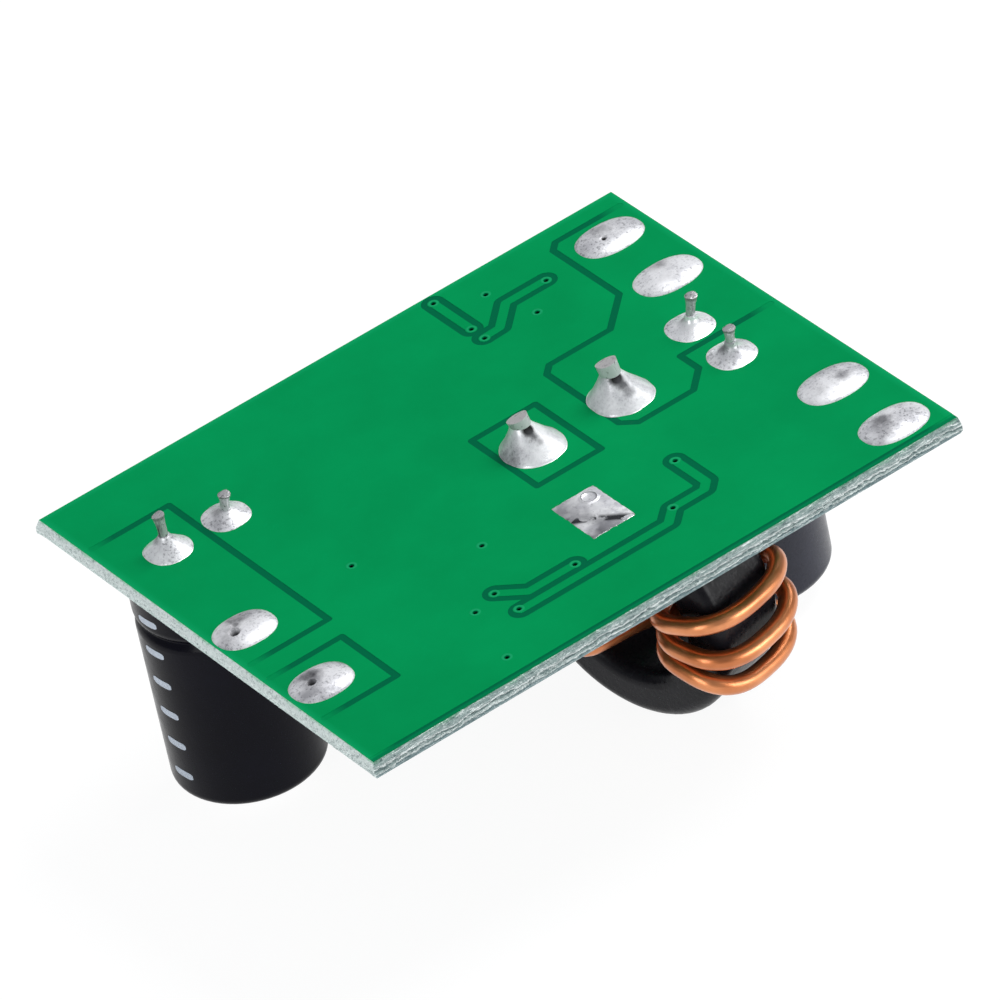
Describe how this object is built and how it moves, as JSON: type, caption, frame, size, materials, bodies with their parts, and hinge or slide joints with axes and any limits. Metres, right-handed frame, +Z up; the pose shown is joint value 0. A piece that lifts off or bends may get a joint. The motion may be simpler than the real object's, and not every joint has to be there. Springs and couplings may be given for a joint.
{
  "type": "solar charge controller board",
  "caption": "Small rectangular circuit board, solder side up, with capacitors and a wound ring inductor hanging under it, that charges a battery from a solar panel.",
  "frame": {"origin": "under the middle of the board's outline, at the lowest point of the inductor's core", "axes": "+Z up out of the solder face, +X along the board towards the panel and load pads, +Y across it towards the panel pads"},
  "size_m": [0.0358, 0.029, 0.0175],
  "materials": {
    "board_mask": "glass-fibre laminate under glossy green solder mask, with bare pale snapped edges",
    "solder": "hand-flowed solder, silvery and a little mottled",
    "copper": "bare plated copper",
    "can_metal": "smooth drawn aluminium",
    "sleeve": "glossy black shrunk sleeve",
    "bung_rubber": "matt black rubber",
    "pin_metal": "tinned steel wire",
    "core_coating": "powdered iron under a thin satin black coating",
    "enamelled_copper": "glossy enamelled copper wire",
    "chip_moulding": "matt black moulding compound",
    "lead_metal": "tinned metal strip",
    "resistor_black": "ceramic chip under black glaze",
    "capacitor_tan": "bare tan ceramic",
    "light_base": "white ceramic base",
    "light_lens": "clear pale resin"
  },
  "bodies": {
    "root": {"circuit_board": "board_mask", "plated_vias": "copper", "thermal_pad_solder": "solder", "inductor_core": "core_coating", "inductor_winding": "enamelled_copper", "inductor_solder": "solder", "smd_solder": "solder", "panel_plus_pad": "solder", "panel_minus_pad": "solder", "load_plus_pad": "solder", "load_minus_pad": "solder", "battery_plus_pad": "solder", "battery_minus_pad": "solder", "regulator_body": "chip_moulding", "regulator_leads": "lead_metal", "regulator_slug": "lead_metal", "blocking_diode_body": "chip_moulding", "blocking_diode_tabs": "lead_metal", "freewheel_diode_body": "chip_moulding", "freewheel_diode_tabs": "lead_metal", "sense_resistor_bodies": "resistor_black", "sense_resistor_caps": "lead_metal", "chip_resistor_bodies": "resistor_black", "chip_resistor_caps": "lead_metal", "chip_capacitor_bodies": "capacitor_tan", "chip_capacitor_caps": "lead_metal", "status_light_bodies": "light_base", "status_light_caps": "lead_metal", "status_light_lenses": "light_lens", "left_capacitor_can": "can_metal", "left_capacitor_sleeve": "sleeve", "left_capacitor_bung": "bung_rubber", "left_capacitor_pins": "pin_metal", "left_capacitor_solder": "solder", "right_capacitor_can": "can_metal", "right_capacitor_sleeve": "sleeve", "right_capacitor_bung": "bung_rubber", "right_capacitor_pins": "pin_metal", "right_capacitor_solder": "solder"}
  },
  "joints": []
}
